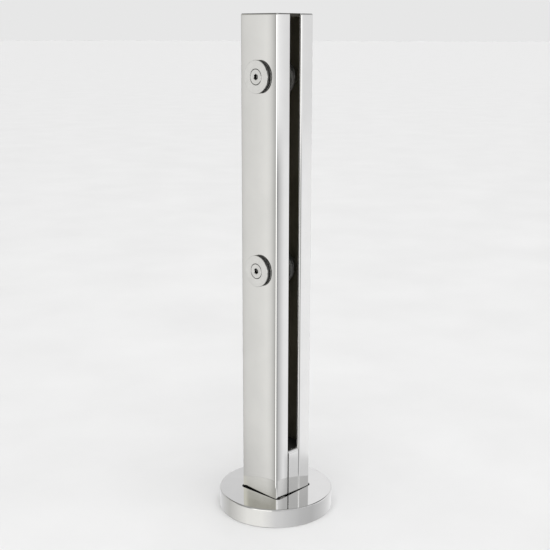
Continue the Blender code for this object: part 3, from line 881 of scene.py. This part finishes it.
# brightness round the horizon as (degrees from the camera's side, level), one list for each height; a mirror
# finish shows these levels, so they are what makes the faces, corners and edges read
leftWall = [(-180, 0.80), (-135, 0.52), (-100, 0.62), (-94, 0.76), (-91, 0.80), (-90, 0.82), (-89, 0.88),
            (-88.3, 0.90), (-87.8, 0.865), (-87.2, 0.82), (-86.1, 0.74), (-84.4, 0.62), (-82, 0.50),
            (-78, 0.42), (-50, 0.40), (-45, 1.80), (-9, 1.80)]
frontGap = [(-7, 0.12), (8, 0.12), (12, 0.44), (78, 0.44), (84.4, 0.52), (86.4, 0.62), (88.4, 0.78),
            (89.5, 0.887), (90.2, 0.96)]
behind = [(98, 0.62), (130, 0.72), (174, 0.90), (179, 0.88), (180, 0.80)]
bands = {
    "top": [(-180, 0.72), (-150, 0.80), (-100, 0.85), (-94, 0.78), (-92, 0.46), (-60, 0.46), (-20, 0.60),
            (0, 0.9), (10, 1.25), (80, 1.25), (86, 0.85), (90, 0.62)] + behind,
    "eaves": [(-180, 0.72), (-150, 0.80), (-100, 0.85), (-94, 0.84), (-91, 0.88), (-89, 0.98), (-87, 0.86),
              (-84, 0.62), (-60, 0.50), (-20, 0.60), (0, 0.9), (10, 1.10), (50, 0.50), (78, 0.55), (84, 0.80),
              (88, 0.95), (90.5, 0.90), (91.3, 0.66), (98, 0.64)] + behind[1:],
    "lintel": [(-180, 0.70), (-120, 0.45), (-95, 0.25), (-60, 0.25), (-10, 0.40), (20, 0.70), (100, 0.70),
               (140, 0.75), (180, 0.70)],
    "high": leftWall + [(12, 0.85), (20, 0.85), (40, 1.10), (80, 1.10), (88, 0.95), (91, 0.86), (100, 0.85),
                        (140, 0.85), (180, 0.80)],
    "middle": leftWall + frontGap + [(92.7, 0.99), (100, 1.0), (140, 0.9), (180, 0.80)],
    "ledge": [(-180, 0.80), (-130, 0.62), (-100, 0.52), (-94, 0.60), (-91, 0.66), (-90, 0.71), (-89, 0.79),
              (-88.3, 0.82), (-87.2, 0.80), (-86.1, 0.73), (-84.4, 0.60), (-82, 0.46), (-78, 0.38),
              (-50, 0.38), (-45, 1.70), (-9, 1.70)] + frontGap + [(91, 0.96), (91.4, 0.72), (180, 0.72)],
    "low": [(-180, 0.90), (-150, 0.72), (-110, 0.58), (-90, 0.70), (-78, 0.80), (-60, 0.96), (-29, 0.98),
            (0, 0.76), (51, 0.58), (78, 0.54), (104, 0.64), (150, 0.90), (180, 0.90)],
}
tints = {"topLeft": (1.02, 1.0, 0.89), "left": (1, 0.992, 0.968), "elsewhere": (1, 0.998, 1.01)}
# where each band begins, as (degrees of elevation, softness in degrees)
begins = {
    "low": (-38, 5), "ledge": (-25.4, 0.4), "middleRight": (-23.5, 0.15), "middleLeft": (-23, 2.5),
    "high": (-6, 2.5), "lintel": (6, 2), "eaves": (21, 1.5), "top": (25.5, 0.2),
    "dark": (33, 5), "zenith": (50, 4),
}
flatLevels = {"floorLeft": 0.12, "floorRight": 1.0, "dark": 0.07, "zenith": 0.55}
topSlope, topSlopeLimit = 0.12, -0.0035          # past 90 degrees the top band's foot sinks this much a radian


def makeWorld():
    world = bpy.data.worlds.new("soft_studio")
    bpy.context.scene.world = world
    world.use_nodes = True
    tree = world.node_tree
    background = tree.nodes["Background"]
    around = atan2(shot["place"][1], shot["place"][0])
    direction = addNode(tree, "ShaderNodeTexCoord").outputs["Generated"]
    faced = addNode(tree, "ShaderNodeMapping", {"Vector": direction, "Rotation": (0, 0, -around)})
    parts = addNode(tree, "ShaderNodeSeparateXYZ", {"Vector": faced.outputs[0]})
    angle = addNode(tree, "ShaderNodeMath", {0: parts.outputs["Y"], 1: parts.outputs["X"]},
                    operation="ARCTAN2")
    share = addNode(tree, "ShaderNodeMath", {0: angle.outputs[0], 1: 1 / (2 * pi), 2: 0.5},
                    operation="MULTIPLY_ADD")

    def band(levels, leftTint=tints["left"]):
        ramp = addNode(tree, "ShaderNodeValToRGB", {"Fac": share.outputs[0]})
        elements = ramp.color_ramp.elements
        for degrees, level in levels:
            ends = {-180: elements[0], 180: elements[len(elements) - 1]}
            spot = ends.get(degrees) or elements.new(degrees / 360 + 0.5)
            cast = leftTint if -130 < degrees < 0 else tints["elsewhere"]
            spot.color = (level * cast[0], level * cast[1], level * cast[2], 1)
        return ramp.outputs["Color"]

    def step(height, width, value=parts.outputs["Z"]):
        # 0 below that elevation and 1 above it
        return addNode(tree, "ShaderNodeMapRange",
                       {"Value": value, "From Min": sin(radians(height - width)),
                        "From Max": sin(radians(height + width))},
                       interpolation_type="SMOOTHSTEP").outputs["Result"]

    def mix(factor, first, second):
        node = addNode(tree, "ShaderNodeMix", data_type="RGBA")
        tree.links.new(factor, node.inputs["Factor"])
        for name, value in (("A", first), ("B", second)):
            socket = [s for s in node.inputs if s.name == name and s.type == "RGBA"][0]
            if isinstance(value, bpy.types.NodeSocket):
                tree.links.new(value, socket)
            else:
                socket.default_value = value
        return [s for s in node.outputs if s.type == "RGBA"][0]

    def grey(level):
        return (level, level, level, 1)

    low, ledge, middle, high, lintel, eaves = [band(bands[name]) for name in
                                               ("low", "ledge", "middle", "high", "lintel", "eaves")]
    top = band(bands["top"], tints["topLeft"])
    side = addNode(tree, "ShaderNodeMapRange",
                   {"Value": parts.outputs["Y"], "From Min": -0.05, "From Max": 0.05}).outputs["Result"]
    onRight = mix(step(*begins["middleRight"]), ledge, middle)
    onLeft = mix(step(*begins["middleLeft"]), ledge, middle)
    sky = mix(step(*begins["ledge"]), low, mix(side, onLeft, onRight))
    sky = mix(step(*begins["high"]), sky, high)
    sky = mix(step(*begins["lintel"]), sky, lintel)
    sideways = addNode(tree, "ShaderNodeMath", {0: angle.outputs[0]}, operation="ABSOLUTE")
    slanted = addNode(tree, "ShaderNodeMath", {0: sideways.outputs[0], 1: topSlope,
                                               2: -radians(90) * topSlope}, operation="MULTIPLY_ADD")
    limited = addNode(tree, "ShaderNodeMath", {0: slanted.outputs[0], 1: topSlopeLimit}, operation="MAXIMUM")
    leaning = addNode(tree, "ShaderNodeMath", {0: parts.outputs["Z"], 1: limited.outputs[0]}, operation="ADD")
    sky = mix(step(*begins["eaves"]), sky, mix(step(*begins["top"], leaning.outputs[0]), eaves, top))
    sky = mix(step(*begins["dark"]), sky, grey(flatLevels["dark"]))
    sky = mix(step(*begins["zenith"]), sky, grey(flatLevels["zenith"]))
    underfoot = mix(side, grey(flatLevels["floorLeft"]), grey(flatLevels["floorRight"]))
    whole = mix(step(*begins["low"]), underfoot, sky)
    seen = addNode(tree, "ShaderNodeLightPath").outputs["Is Camera Ray"]
    tree.links.new(mix(seen, whole, grey(studio["backTone"])), background.inputs["Color"])


makeCamera()
makeFloor()
addOverhead()
addSun()
makeWorld()
bpy.context.scene.view_settings.view_transform = "Standard"
print("camera, floor and light ready")
